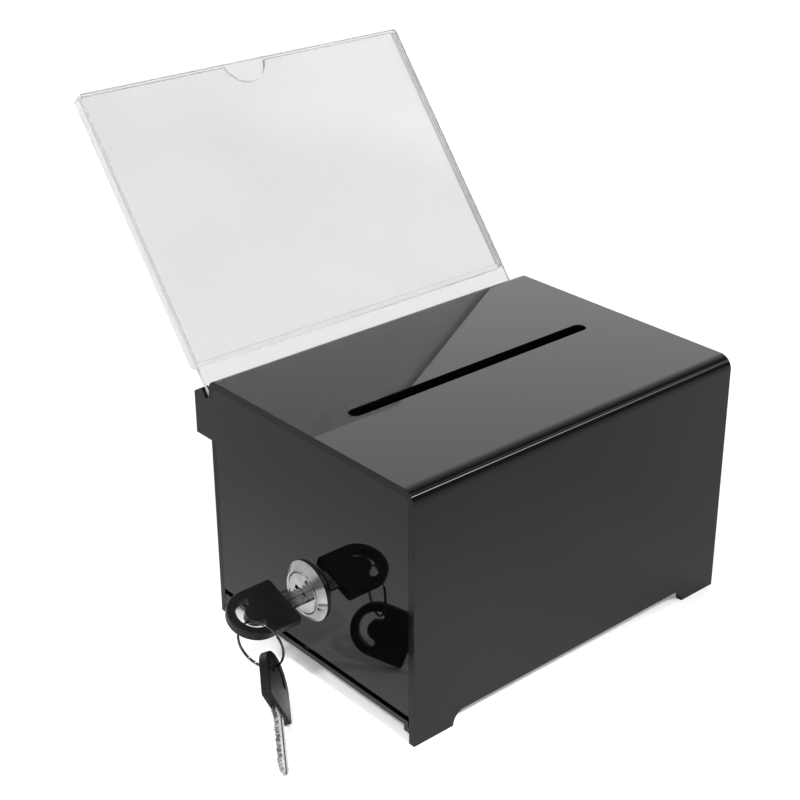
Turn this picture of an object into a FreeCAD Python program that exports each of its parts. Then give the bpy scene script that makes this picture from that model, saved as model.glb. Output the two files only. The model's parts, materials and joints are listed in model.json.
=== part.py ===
import FreeCAD, Part
import math
import os

# Ballot box of bent black acrylic sheet. A cam lock in its left side holds a sliding floor shut,
# and two ears at the back carry a clear leaning sign holder.
# Millimetres. +X runs to the right along the front, +Y to the back and +Z up.
# The origin is the middle of the box's footprint, on the surface that the feet stand on.

# Box
box_width = 158.8
box_depth = 114.4
box_height = 100.2
sheet = 2.8
front_bend = 5.4
rear_bend = 4.5
bend_fit = 0.1
ballot_length = 118.4
ballot_width = 5.8
foot_width = 18.4
foot_height = 5.3
foot_round = 5.0

# Floor and its rails
rail_low = 4.4
rail_height = 2.5
rail_width = 2.6
floor_thick = 2.1
floor_fit = 0.4
floor_rest = 0.05
side_gap = 2.2
cam_slot_fit = 1.3

# Ears and sign holder
ear_reach = 9.5
ear_low_drop = 25.3
ear_rear_drop = 8.1
ear_rest = 4.4
sign_lean_degrees = 38.2
sign_foot_drop = 7.5
sign_foot_gap = 0.5
sign_inset = 1.2
sign_height = 124.2
sign_sheet = 2.0
sign_pocket = 1.6
sign_rear_start = 11.4
sign_strip_height = 2.2
sign_fit = 0.1
thumb_radius = 10.0
thumb_depth = 9.0

# Lock
lock_height = 36.5
bezel_radius = 11.7
bezel_top_radius = 9.0
bezel_rim = 0.8
bezel_height = 3.2
barrel_radius = 9.0
barrel_flats = 15.8
panel_hole_fit = 0.15
nut_across = 22.0
nut_height = 4.0
nut_fit = 0.1
washer_radius = 12.0
washer_height = 1.0
plug_radius = 6.0
plug_head_radius = 7.9
plug_head_height = 2.2
plug_fit = 0.06
wafer_pitch = 2.0
wafer_start = 2.4
wafer_tip_gap = 2.4
wafer_thick = 0.9
wafer_half_width = 2.7
wafer_fit = 0.15
wafer_window_fit = 0.35
spring_radius = 0.6
spring_bore = 0.3
spring_length = 3.4
spring_lug = 0.8
drive_side = 6.4
drive_fit = 0.1
stop_radius = 8.4
stop_height = 1.0
stop_tab = 3.0
cam_thick = 2.0
cam_width = 10.0
cam_hub_radius = 7.5
cam_tip_round = 2.0
cam_washer_radius = 5.5
cam_washer_height = 1.0
screw_radius = 2.5
screw_length = 7.0
screw_head_radius = 4.5
screw_head_height = 2.8
screw_slot_width = 1.2
screw_slot_depth = 1.2
screw_fit = 0.1

# Keys
key_turn_degrees = 19.9
key_stand_out = 10.8
blade_length = 25.8
blade_width = 8.0
blade_thick = 1.6
blade_tang = 8.0
blade_collar = 3.4
tip_length = 3.0
tip_slant = 1.8
tooth_back = 1.4
tooth_start = 4.6
tooth_depth_shares = (0.55, 0.9, 0.4, 0.75, 1.0, 0.5, 0.85, 0.6, 0.9)
tooth_depth = 1.5
tooth_width = 1.9
groove_width = 1.6
groove_depth = 0.4
groove_offset = 1.3
keyway_fit = 0.2
keyway_wall = 1.56
bow_width = 20.7
bow_length = 23.6
bow_thick = 3.5
bow_corner = 1.2
bow_edge = 0.5
bow_rim = 3.15
hole_width = 3.4
hole_half_sweep_degrees = 80.0

# Key ring and the spare key that leans on the table
ring_radius = 9.4
ring_wire = 0.54
ring_step = 0.97
ring_yaw_degrees = 20.8
ring_pitch_degrees = 3.1
ring_cross_degrees = 300.0
ring_cross_sweep_degrees = 40.0
ring_at_key_degrees = 236.9
ring_at_spare_degrees = 75.0
key_thread_degrees = -18.4
key_thread_share = -0.32
spare_thread_degrees = 70.0
spare_heading_degrees = 38.7
spare_lean_degrees = 19.6
spare_pitch_degrees = 16.8

# Every cut runs past the face that it opens by the overrun; points closer than same_point are one
overrun = 1.0
same_point = 0.001

X = FreeCAD.Vector(1, 0, 0)
Y = FreeCAD.Vector(0, 1, 0)
Z = FreeCAD.Vector(0, 0, 1)


def vec(x, y, z):
    return FreeCAD.Vector(x, y, z)


def block(x_low, x_high, y_low, y_high, z_low, z_high):
    return Part.makeBox(x_high - x_low, y_high - y_low, z_high - z_low, vec(x_low, y_low, z_low))


def rod(radius, start, end):
    return Part.makeCylinder(radius, (end - start).Length, start, end - start)


def outline_face(points):
    """A flat face through corner points; a pair is an arc's middle and end, from the corner before it."""
    edges = []
    here = points[0]
    for entry in list(points[1:]) + [points[0]]:
        if isinstance(entry, tuple):
            middle, end = entry
            edges.append(Part.Arc(here, middle, end).toShape())
            here = end
        elif (entry - here).Length > same_point:
            edges.append(Part.LineSegment(here, entry).toShape())
            here = entry
    return Part.Face(Part.Wire(edges))


def turned_about_lock(shape, degrees):
    """A copy turned about the lock's axis, which runs along X."""
    copy = shape.copy()
    copy.rotate(lock_face, X, degrees)
    return copy


def set_in_frame(shape, origin, along, across):
    """A copy carried from the key's or ring's own axes to the given ones."""
    third = along.cross(across)
    matrix = FreeCAD.Matrix(
        along.x, across.x, third.x, origin.x,
        along.y, across.y, third.y, origin.y,
        along.z, across.z, third.z, origin.z,
        0, 0, 0, 1)
    copy = shape.copy()
    copy.Placement = FreeCAD.Placement(matrix)
    return copy


# Places that several pieces share
half_width = box_width / 2
half_depth = box_depth / 2
inner_half_depth = half_depth - sheet
floor_low = rail_low + rail_height + floor_rest
floor_top = floor_low + floor_thick
side_low = floor_top + side_gap
lock_face = vec(-half_width, 0, lock_height)
keyway_end = blade_length - key_stand_out + keyway_fit * 2
screw_depth = screw_length - cam_washer_height
barrel_length = (keyway_end + keyway_wall + screw_depth + screw_fit
                 - plug_fit - stop_height - cam_thick)
barrel_end = barrel_length - half_width
stop_start = barrel_end + plug_fit
cam_start = stop_start + stop_height
cam_end = cam_start + cam_thick
screw_head_start = cam_end + cam_washer_height
cam_reach = lock_height - floor_low
sign_lean = math.radians(sign_lean_degrees)
sign_foot = vec(0, half_depth + sign_foot_gap, box_height - sign_foot_drop)
sign_up = vec(0, math.sin(sign_lean), math.cos(sign_lean))
sign_back = vec(0, math.cos(sign_lean), -math.sin(sign_lean))
ear_low = box_height - ear_low_drop
ear_top = sign_foot.z + sign_foot_gap * math.tan(sign_lean)


def arch_face(half, low, high, front_round, rear_round, x):
    """The box's end view: upright front and back, a flat top and two round bends."""
    front_slant = front_round * (1 - math.cos(math.pi / 4))
    rear_slant = rear_round * (1 - math.cos(math.pi / 4))
    return outline_face([
        vec(x, -half, low),
        vec(x, -half, high - front_round),
        (vec(x, front_slant - half, high - front_slant), vec(x, front_round - half, high)),
        vec(x, half - rear_round, high),
        (vec(x, half - rear_slant, high - rear_slant), vec(x, half, high - rear_round)),
        vec(x, half, low)])


def slot_tool(length, width, low, high):
    """A round-ended slot along X, as a solid to cut with."""
    straight = length / 2 - width / 2
    tool = block(-straight, straight, -width / 2, width / 2, low, high)
    for x in (-straight, straight):
        tool = tool.fuse(rod(width / 2, vec(x, 0, low), vec(x, 0, high)))
    return tool


def make_wrap_sheet():
    """Front, top and back in one bent sheet, with the ballot slot, four feet and the ear notches."""
    outer = arch_face(half_depth, 0, box_height, front_bend, rear_bend, -half_width)
    inner = arch_face(inner_half_depth, -overrun, box_height - sheet,
                      front_bend - sheet, rear_bend - sheet, -half_width - overrun)
    wrap = outer.extrude(X * box_width).cut(inner.extrude(X * (box_width + overrun * 2)))
    wrap = wrap.cut(slot_tool(ballot_length, ballot_width,
                              box_height - sheet - overrun, box_height + overrun))
    relief_half = half_width - foot_width
    relief = block(-relief_half, relief_half, -half_depth - overrun, half_depth + overrun,
                   -overrun, foot_height)
    upper_edges = [edge for edge in relief.Edges
                   if edge.CenterOfMass.z > foot_height - overrun / 2
                   and abs(edge.CenterOfMass.x) > relief_half - overrun / 2]
    wrap = wrap.cut(relief.makeFillet(min(foot_round, foot_height), upper_edges))
    for low, high in ((-half_width - overrun, sheet - half_width),
                      (half_width - sheet, half_width + overrun)):
        wrap = wrap.cut(block(low, high, inner_half_depth - overrun, half_depth + overrun,
                              ear_low, ear_top))
    return wrap.removeSplitter()


def make_side_panel(x):
    """A side sheet inside the bent one, with its ear out through the back and the sign's notch in it."""
    panel = arch_face(inner_half_depth, side_low, box_height - sheet, front_bend - sheet + bend_fit,
                      rear_bend - sheet + bend_fit, x).extrude(X * sheet)
    rest_foot = sign_foot + sign_back * (sign_sheet + sign_fit)
    rest_top = rest_foot + sign_up * ear_rest
    ear_rear = half_depth + ear_reach
    corners = ((inner_half_depth - sheet, ear_low), (ear_rear, ear_low),
               (ear_rear, box_height - ear_rear_drop), (rest_top.y, rest_top.z),
               (rest_foot.y, rest_foot.z), (half_depth, ear_top), (inner_half_depth - sheet, ear_top))
    ear = outline_face([vec(x, y, z) for y, z in corners]).extrude(X * sheet)
    return panel.fuse(ear).removeSplitter()


def flatted_rod(radius, across, start, end):
    """A round bar along X with two flats, above and below."""
    bar = rod(radius, start, end)
    side = radius + overrun
    return bar.common(block(min(start.x, end.x), max(start.x, end.x), start.y - side, start.y + side,
                            start.z - across / 2, start.z + across / 2))


def along_lock(distance):
    """The point of the lock's axis this far in from the left side's outer face."""
    return lock_face + X * distance


def make_left_side_panel():
    hole = flatted_rod(barrel_radius + panel_hole_fit, barrel_flats + panel_hole_fit * 2,
                       along_lock(-overrun), along_lock(sheet + overrun))
    return make_side_panel(-half_width).cut(hole)


def make_floor_plate():
    """The floor slides on its rails; the lock's cam drops into its slot."""
    side = inner_half_depth - floor_fit
    plate = block(-half_width, half_width, -side, side, floor_low, floor_top)
    sweep = math.hypot(cam_reach, cam_width / 2)
    slot_half = math.sqrt(sweep ** 2 - (lock_height - floor_top) ** 2) + cam_slot_fit
    return plate.cut(block(cam_start - cam_slot_fit, cam_end + cam_slot_fit, -slot_half, slot_half,
                           floor_low - overrun, floor_top + overrun))


def make_floor_rail(wall_y, inward):
    edge_y = wall_y + inward * rail_width
    return block(-half_width, half_width, min(wall_y, edge_y), max(wall_y, edge_y),
                 rail_low, rail_low + rail_height)


def sign_sheet_solid(back_low, back_high, up_low, up_high):
    """A flat piece of the sign holder, from its distances behind and along the front sheet's face."""
    half = half_width - sign_inset
    corners = [sign_foot + sign_back * back + sign_up * up
               for back, up in ((back_low, up_low), (back_high, up_low),
                                (back_high, up_high), (back_low, up_high))]
    return outline_face([corner - X * half for corner in corners]).extrude(X * half * 2)


def make_sign_front_sheet():
    return sign_sheet_solid(0, sign_sheet, 0, sign_height)


def make_sign_rear_sheet():
    """The rear sheet starts higher up, and has a round thumb notch in its top edge."""
    start = sign_sheet + sign_pocket
    rear = sign_sheet_solid(start, start + sign_sheet, sign_rear_start, sign_height)
    centre = sign_foot + sign_up * (sign_height - thumb_depth + thumb_radius)
    thumb = rod(thumb_radius, centre, centre + sign_back * (start + sign_sheet + overrun))
    return rear.cut(thumb)


def make_sign_spacer_strip():
    return sign_sheet_solid(sign_sheet, sign_sheet + sign_pocket,
                            sign_rear_start, sign_rear_start + sign_strip_height)


def make_lock_housing():
    """A chromed bezel outside the panel and a flatted barrel inside it, bored for the plug."""
    cone = Part.makeCone(bezel_radius, bezel_top_radius, bezel_height - bezel_rim,
                         along_lock(-bezel_rim), -X)
    housing = rod(bezel_radius, along_lock(0), along_lock(-bezel_rim)).fuse(cone)
    housing = housing.fuse(flatted_rod(barrel_radius, barrel_flats,
                                       along_lock(0), along_lock(barrel_length)))
    recess = rod(plug_head_radius + plug_fit, along_lock(plug_head_height - bezel_height + plug_fit),
                 along_lock(-bezel_height - overrun))
    bore = rod(plug_radius + plug_fit, along_lock(-bezel_height), along_lock(barrel_length + overrun))
    return housing.removeSplitter().cut(recess.fuse(bore))


def make_lock_washer():
    ring = rod(washer_radius, along_lock(sheet), along_lock(sheet + washer_height))
    return ring.cut(rod(barrel_radius + nut_fit, along_lock(0), along_lock(barrel_length)))


def make_lock_nut():
    start = sheet + washer_height
    corner = nut_across / math.sqrt(3)
    points = [along_lock(start) + vec(0, math.cos(angle), math.sin(angle)) * corner
              for angle in (math.pi / 3 * step for step in range(6))]
    nut = outline_face(points).extrude(X * nut_height)
    return nut.cut(rod(barrel_radius + nut_fit, along_lock(0), along_lock(barrel_length)))


def lock_block(x_low, x_high, half_y, z_low, z_high):
    """A block about the lock's axis, with X from the panel's face and Z from the axis."""
    return block(x_low - half_width, x_high - half_width, -half_y, half_y,
                 lock_height + z_low, lock_height + z_high)


def drive_block(start, end, side):
    return block(start, end, -side / 2, side / 2, lock_height - side / 2, lock_height + side / 2)


def wafer_places():
    """As many wafers as the blade reaches, a pitch apart."""
    room = blade_length - key_stand_out - wafer_start - wafer_tip_gap
    return [wafer_start + wafer_pitch * step for step in range(int(room / wafer_pitch) + 1)]


wafer_half_height = math.sqrt(plug_radius ** 2 - wafer_half_width ** 2) - wafer_fit
pocket_depth = spring_radius * 2 + wafer_fit
pocket_half_width = spring_radius + wafer_fit / 2


def make_lock_plug():
    """The turning plug, with its keyway, its wafer slots, a square drive and the screw's hole."""
    plug = rod(plug_head_radius, along_lock(-bezel_height), along_lock(plug_head_height - bezel_height))
    plug = plug.fuse(rod(plug_radius, along_lock(-bezel_height), along_lock(barrel_length)))
    plug = plug.fuse(drive_block(barrel_end - overrun, cam_end - drive_fit, drive_side))
    plug = plug.cut(lock_block(-bezel_height - overrun, keyway_end, blade_width / 2 + keyway_fit,
                               -blade_thick / 2 - keyway_fit, blade_thick / 2 + keyway_fit))
    slot_half = wafer_half_width + wafer_fit
    for place in wafer_places():
        plug = plug.cut(lock_block(place - wafer_fit, place + wafer_thick + wafer_fit,
                                   plug_radius + overrun, -slot_half, slot_half))
        middle = place + wafer_thick / 2
        plug = plug.cut(lock_block(middle - pocket_half_width, middle + pocket_half_width,
                                   spring_length / 2 + spring_lug + wafer_fit,
                                   wafer_half_width, wafer_half_width + pocket_depth + wafer_fit))
    plug = plug.cut(rod(screw_radius + screw_fit, vec(cam_end - screw_depth - screw_fit, 0, lock_height),
                        vec(cam_end + overrun, 0, lock_height)))
    return turned_about_lock(plug.removeSplitter(), key_turn_degrees)


def make_wafer_tumblers():
    """Flat wafers with a window for the blade and a lug that rests on its spring."""
    wafers = []
    for place in wafer_places():
        wafer = lock_block(place, place + wafer_thick, wafer_half_height,
                           -wafer_half_width, wafer_half_width)
        lug = block(place - half_width, place + wafer_thick - half_width,
                    spring_length / 2, spring_length / 2 + spring_lug,
                    lock_height, lock_height + wafer_half_width + pocket_depth)
        window = lock_block(place - overrun, place + wafer_thick + overrun,
                            blade_width / 2 + wafer_window_fit,
                            -blade_thick / 2 - wafer_window_fit, blade_thick / 2 + wafer_window_fit)
        wafer = wafer.fuse(lug).removeSplitter().cut(window)
        wafers.append(turned_about_lock(wafer, key_turn_degrees))
    return Part.makeCompound(wafers)


def make_wafer_springs():
    springs = []
    for place in wafer_places():
        centre = along_lock(place + wafer_thick / 2) + Z * (wafer_half_width + wafer_fit + spring_radius)
        start, end = centre - Y * (spring_length / 2), centre + Y * (spring_length / 2)
        spring = rod(spring_radius, start, end).cut(rod(spring_bore, start, end))
        springs.append(turned_about_lock(spring, key_turn_degrees))
    return Part.makeCompound(springs)


def make_cam_stop_washer():
    """A washer on the square drive, whose tab limits the turn."""
    axis = vec(stop_start, 0, lock_height)
    washer = rod(stop_radius, axis, axis + X * stop_height)
    washer = washer.fuse(block(stop_start, cam_start, -stop_tab, stop_tab,
                               lock_height, lock_height + stop_radius + stop_tab / 2))
    washer = washer.cut(drive_block(stop_start - overrun, cam_start + overrun, drive_side + drive_fit))
    return turned_about_lock(washer.removeSplitter(), key_turn_degrees)


def make_lock_cam():
    """A flat steel cam, which points along the keyway and reaches through the floor when it hangs down."""
    axis = vec(cam_start, 0, lock_height)
    arm = block(cam_start, cam_end, -cam_reach, 0, lock_height - cam_width / 2, lock_height + cam_width / 2)
    tip_edges = [edge for edge in arm.Edges
                 if edge.CenterOfMass.y < overrun - cam_reach
                 and abs(edge.CenterOfMass.z - lock_height) > cam_width / 2 - overrun]
    arm = arm.makeFillet(cam_tip_round, tip_edges)
    cam = arm.fuse(rod(cam_hub_radius, axis, axis + X * cam_thick)).removeSplitter()
    cam = cam.cut(drive_block(cam_start - overrun, cam_end + overrun, drive_side + drive_fit))
    return turned_about_lock(cam, key_turn_degrees)


def make_cam_washer():
    axis = vec(cam_end, 0, lock_height)
    washer = rod(cam_washer_radius, axis, axis + X * cam_washer_height)
    return washer.cut(rod(screw_radius + screw_fit, axis - X * overrun, axis + X * screw_length))


def make_cam_screw():
    head = vec(screw_head_start, 0, lock_height)
    screw = rod(screw_head_radius, head, head + X * screw_head_height)
    screw = screw.fuse(rod(screw_radius, head - X * screw_length, head))
    slot_start = screw_head_start + screw_head_height - screw_slot_depth
    slot = block(slot_start, slot_start + screw_slot_depth + overrun,
                 -screw_head_radius - overrun, screw_head_radius + overrun,
                 lock_height - screw_slot_width / 2, lock_height + screw_slot_width / 2)
    return turned_about_lock(screw.removeSplitter().cut(slot), key_turn_degrees)


# A key has its own axes: X from the blade to the bow, Y across it and Z through it,
# with the origin where the blade leaves the bow
bow_half = bow_width / 2
hole_centre = bow_length - bow_half
hole_radius = bow_half - bow_rim - hole_width / 2


def make_key_blade():
    """A flat blade, full width at its collar, with cuts along one edge, a groove and a tapered tip."""
    half = blade_width / 2
    toothed = half - tooth_back
    shoulder = tip_length - blade_length
    corners = ((blade_tang, -half), (blade_tang, half), (-blade_collar, half), (-blade_collar, toothed),
               (shoulder, toothed), (-blade_length, toothed - tip_slant),
               (-blade_length, tip_slant - half), (shoulder, -half))
    blade = outline_face([vec(x, y, -blade_thick / 2) for x, y in corners]).extrude(Z * blade_thick)
    for step, share in enumerate(tooth_depth_shares):
        place = -tooth_start - wafer_pitch * step
        root = toothed - tooth_depth * share
        side = tooth_width / 2
        cut = ((place - side, half + overrun), (place - side, toothed), (place, root),
               (place + side, toothed), (place + side, half + overrun))
        tooth = outline_face([vec(x, y, -blade_thick / 2 - overrun) for x, y in cut])
        tooth = tooth.extrude(Z * (blade_thick + overrun * 2))
        blade = blade.cut(tooth)
    for face in (-1, 1):
        deep, proud = blade_thick / 2 - groove_depth, blade_thick / 2 + overrun
        low, high = sorted((face * deep, face * proud))
        blade = blade.cut(block(-blade_length - overrun, -groove_width,
                                -groove_offset - groove_width / 2, groove_width / 2 - groove_offset,
                                low, high))
    return blade


def make_key_bow():
    """A moulded D-shaped head on the blade's tang, with a crescent hole for the ring near its round end."""
    low = -bow_thick / 2
    bow = outline_face([
        vec(0, -bow_half, low), vec(hole_centre, -bow_half, low),
        (vec(bow_length, 0, low), vec(hole_centre, bow_half, low)),
        vec(0, bow_half, low)]).extrude(Z * bow_thick)
    corners = [edge for edge in bow.Edges
               if abs(edge.CenterOfMass.x) < bow_corner and abs(edge.CenterOfMass.y) > bow_half - bow_corner
               and abs(edge.CenterOfMass.z) < bow_corner]
    bow = bow.makeFillet(bow_corner, corners)
    rims = [edge for edge in bow.Edges if abs(abs(edge.CenterOfMass.z) - bow_thick / 2) < bow_edge / 2]
    bow = bow.makeFillet(bow_edge, rims)
    sweep = math.radians(hole_half_sweep_degrees)

    def around(radius, angle):
        return vec(hole_centre + radius * math.cos(angle), radius * math.sin(angle), low - overrun)

    outer, inner = hole_radius + hole_width / 2, hole_radius - hole_width / 2
    end_bulge = hole_width / 2 / hole_radius
    hole = outline_face([
        around(outer, -sweep),
        (around(outer, 0), around(outer, sweep)),
        (around(hole_radius / math.cos(end_bulge), sweep + end_bulge), around(inner, sweep)),
        (around(inner, 0), around(inner, -sweep)),
        (around(hole_radius / math.cos(end_bulge), -sweep - end_bulge), around(outer, -sweep)),
    ]).extrude(Z * (bow_thick + overrun * 2))
    tang = block(-overrun, blade_tang, -blade_width / 2, blade_width / 2, -blade_thick / 2, blade_thick / 2)
    return bow.cut(hole).cut(tang)


key_turn = math.radians(key_turn_degrees)
key_origin = along_lock(-key_stand_out)
key_along = -X
key_across = vec(0, math.cos(key_turn), math.sin(key_turn))

# The ring threads the key's hole, and its plane stands nearly square to the lock's axis
ring_yaw = math.radians(ring_yaw_degrees)
ring_pitch = math.radians(ring_pitch_degrees)
ring_axis = vec(math.cos(ring_yaw) * math.cos(ring_pitch), math.sin(ring_yaw) * math.cos(ring_pitch),
                math.sin(ring_pitch))
ring_along = vec(math.sin(ring_yaw), -math.cos(ring_yaw), 0)
ring_across = ring_axis.cross(ring_along)


def ring_spoke(degrees):
    """From the ring's centre to the middle of its wire."""
    angle = math.radians(degrees)
    return ring_along * (ring_radius * math.cos(angle)) + ring_across * (ring_radius * math.sin(angle))


key_thread_angle = math.radians(key_thread_degrees)
key_thread_radius = hole_radius + hole_width / 2 * key_thread_share
key_thread = (key_origin + key_along * (hole_centre + key_thread_radius * math.cos(key_thread_angle))
              + key_across * (key_thread_radius * math.sin(key_thread_angle)))
ring_centre = key_thread - ring_spoke(ring_at_key_degrees)

# The spare key hangs on the ring beside it, with its blade's lower edge down on the table
spare_heading = math.radians(spare_heading_degrees)
spare_lean = math.radians(spare_lean_degrees)
spare_pitch = math.radians(spare_pitch_degrees)
spare_line = vec(-math.sin(spare_heading), -math.cos(spare_heading), 0)
spare_side = vec(math.cos(spare_heading), -math.sin(spare_heading), 0)
spare_rise = Z * math.cos(spare_lean) - spare_side * math.sin(spare_lean)
spare_along = spare_rise * math.sin(spare_pitch) - spare_line * math.cos(spare_pitch)
spare_across = spare_line * math.sin(spare_pitch) + spare_rise * math.cos(spare_pitch)
spare_thread_angle = math.radians(spare_thread_degrees)
spare_origin = (ring_centre + ring_spoke(ring_at_spare_degrees)
                - spare_along * (hole_centre + hole_radius * math.cos(spare_thread_angle))
                - spare_across * (hole_radius * math.sin(spare_thread_angle)))


def arc_from_tangent(start, tangent, end):
    """The arc that leaves start along tangent and reaches end."""
    chord = end - start
    along = chord.dot(tangent) / chord.Length
    aside = tangent - chord * (along / chord.Length)
    bulge = math.acos(max(-1, min(1, along))) / 2
    middle = (start + end) / 2 + aside.normalize() * (chord.Length / 2 * math.tan(bulge))
    return Part.Arc(start, middle, end).toShape()


def biarc(start, start_tangent, end, end_tangent):
    """Two arcs that run smoothly from one point and direction to another."""
    reach = end - start
    turn = 1 - start_tangent.dot(end_tangent)
    both = reach.dot(start_tangent + end_tangent)
    length = (math.sqrt(both ** 2 + turn * 2 * reach.dot(reach)) - both) / (turn * 2)
    joint = (start + end + (start_tangent - end_tangent) * length) / 2
    first = arc_from_tangent(start, start_tangent, joint)
    second = arc_from_tangent(end, -end_tangent, joint)
    return [first, second]


def make_key_ring():
    """A split ring: one wire of nearly two turns, which steps aside once from the first to the second."""
    def place(degrees, aside):
        angle = math.radians(degrees)
        return vec(ring_radius * math.cos(angle), ring_radius * math.sin(angle), aside)

    def heading(degrees):
        angle = math.radians(degrees)
        return vec(-math.sin(angle), math.cos(angle), 0)

    flat_sweep = 360 - ring_cross_sweep_degrees
    quarter = flat_sweep / 4
    first_start = ring_cross_degrees + ring_cross_sweep_degrees / 2
    second_start = first_start + 360
    edges = []
    for turn_start, aside in ((first_start, -ring_step / 2), (second_start, ring_step / 2)):
        for step in range(4):
            low = turn_start + quarter * step
            edges.append(Part.Arc(place(low, aside), place(low + quarter / 2, aside),
                                  place(low + quarter, aside)).toShape())
        if aside < 0:
            cross_start = first_start + flat_sweep
            edges += biarc(place(cross_start, aside), heading(cross_start),
                           place(second_start, -aside), heading(second_start))
    path = Part.Wire(Part.__sortEdges__(edges))
    section = Part.Wire(Part.makeCircle(ring_wire / 2, place(first_start, -ring_step / 2),
                                        heading(first_start)))
    wire = path.makePipeShell([section], True, False)
    print("key ring: volume share of section times length",
          round(wire.Volume / (path.Length * math.pi * (ring_wire / 2) ** 2), 4))
    print("key ring: least gap between its turns", round(ring_gap(path), 3))
    return wire


def ring_gap(path):
    """The least clear distance between parts of the ring's wire that are over a quarter turn apart."""
    count = 400
    points = path.discretize(Number=count)
    apart = count // 8
    least = min((points[here] - points[there]).Length
                for here in range(count) for there in range(here + apart, count))
    return least - ring_wire


nodes = {
    "wrap_sheet": make_wrap_sheet(),
    "left_side_panel": make_left_side_panel(),
    "right_side_panel": make_side_panel(half_width - sheet),
    "front_floor_rail": make_floor_rail(-inner_half_depth, 1),
    "rear_floor_rail": make_floor_rail(inner_half_depth, -1),
    "floor_plate": make_floor_plate(),
    "sign_front_sheet": make_sign_front_sheet(),
    "sign_rear_sheet": make_sign_rear_sheet(),
    "sign_spacer_strip": make_sign_spacer_strip(),
    "lock_housing": make_lock_housing(),
    "lock_washer": make_lock_washer(),
    "lock_nut": make_lock_nut(),
    "lock_plug": make_lock_plug(),
    "wafer_tumblers": make_wafer_tumblers(),
    "wafer_springs": make_wafer_springs(),
    "cam_stop_washer": make_cam_stop_washer(),
    "lock_cam": make_lock_cam(),
    "cam_washer": make_cam_washer(),
    "cam_screw": make_cam_screw(),
    "key_blade": set_in_frame(make_key_blade(), key_origin, key_along, key_across),
    "key_bow": set_in_frame(make_key_bow(), key_origin, key_along, key_across),
    "key_ring": set_in_frame(make_key_ring(), ring_centre, ring_along, ring_across),
    "spare_key_blade": set_in_frame(make_key_blade(), spare_origin, spare_along, spare_across),
    "spare_key_bow": set_in_frame(make_key_bow(), spare_origin, spare_along, spare_across),
}

os.makedirs("parts", exist_ok=True)
for name, shape in nodes.items():
    shape.exportStep("parts/" + name + ".step")
    box = shape.BoundBox
    print(name, "solids", len(shape.Solids), "valid", shape.isValid(), "volume", round(shape.Volume, 2),
          "low", [round(v, 2) for v in (box.XMin, box.YMin, box.ZMin)],
          "high", [round(v, 2) for v in (box.XMax, box.YMax, box.ZMax)])
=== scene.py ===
import json
import math

import bpy
from mathutils import Matrix, Vector


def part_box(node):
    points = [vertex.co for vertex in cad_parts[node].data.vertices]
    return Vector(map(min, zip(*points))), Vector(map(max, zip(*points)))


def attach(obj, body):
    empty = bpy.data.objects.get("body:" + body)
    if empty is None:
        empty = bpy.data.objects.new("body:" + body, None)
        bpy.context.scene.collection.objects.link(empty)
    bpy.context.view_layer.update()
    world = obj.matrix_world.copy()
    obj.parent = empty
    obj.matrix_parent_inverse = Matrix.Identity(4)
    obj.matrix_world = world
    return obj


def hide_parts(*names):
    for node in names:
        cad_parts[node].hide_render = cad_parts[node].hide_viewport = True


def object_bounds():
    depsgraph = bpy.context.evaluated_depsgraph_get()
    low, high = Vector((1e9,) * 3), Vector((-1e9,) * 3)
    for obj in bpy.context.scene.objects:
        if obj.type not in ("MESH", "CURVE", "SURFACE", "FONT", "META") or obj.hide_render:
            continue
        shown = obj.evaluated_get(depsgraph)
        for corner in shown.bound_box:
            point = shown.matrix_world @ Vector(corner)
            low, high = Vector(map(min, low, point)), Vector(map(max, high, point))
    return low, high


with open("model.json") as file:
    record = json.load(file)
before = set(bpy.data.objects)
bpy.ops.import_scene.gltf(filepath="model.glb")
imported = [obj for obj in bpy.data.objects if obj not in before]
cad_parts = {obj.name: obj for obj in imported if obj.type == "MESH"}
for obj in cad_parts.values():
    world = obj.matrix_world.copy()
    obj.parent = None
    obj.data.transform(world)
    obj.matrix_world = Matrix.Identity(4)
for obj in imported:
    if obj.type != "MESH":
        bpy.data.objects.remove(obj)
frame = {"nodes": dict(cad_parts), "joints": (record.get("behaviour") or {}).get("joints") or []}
cad_low, cad_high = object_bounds()
joints = {joint["name"]: joint for joint in frame["joints"]}

# Bent sheet: front, top and back of the box are one strip of black acrylic, heated along two lines
# and folded over. The ballot slot, the feet and the notches for the ears are cut out of it,
# and its cut edges are flamed smooth but stay a little duller than its faces.
wrap_low, wrap_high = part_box("wrap_sheet")
panel_low, panel_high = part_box("left_side_panel")
sheet = panel_high.x - panel_low.x
front_bend = 0.0054
rear_bend = 0.0045
bend_steps = 20
slot_length = 0.1184
slot_width = 0.0058
slot_round = slot_width / 2.002
foot_width = 0.0184
foot_height = 0.0053
foot_round = 0.0050
ear_low = 0.0749
ear_top = 0.09309
round_steps = 12
cut_past = 0.001
sheet_edge = 0.00022
eased_steps = 2
sharp_angle = math.radians(40)
straight = 0.9
facing = 0.7
noise_low = 0.3
noise_high = 0.7
acrylic_ior = 1.49


def start_block(name, low, high):
    """A block between two corners, as the start of a piece."""
    bpy.ops.object.select_all(action="DESELECT")
    bpy.ops.mesh.primitive_cube_add(size=1, location=(low + high) / 2, scale=high - low)
    bpy.ops.object.transform_apply(location=True, rotation=True, scale=True)
    piece = bpy.context.object
    piece.name = piece.data.name = name
    return piece


def take_up(piece):
    """Selects the piece alone and makes it the active one."""
    bpy.ops.object.select_all(action="DESELECT")
    piece.select_set(True)
    bpy.context.view_layer.objects.active = piece


def pick_faces(piece, wanted):
    """Edit mode on the piece, with only the faces selected whose centre and normal are wanted."""
    open_for_edit(piece, "FACE")
    for face in piece.data.polygons:
        face.select = wanted(face.center, face.normal)
    bpy.ops.object.mode_set(mode="EDIT")


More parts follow.
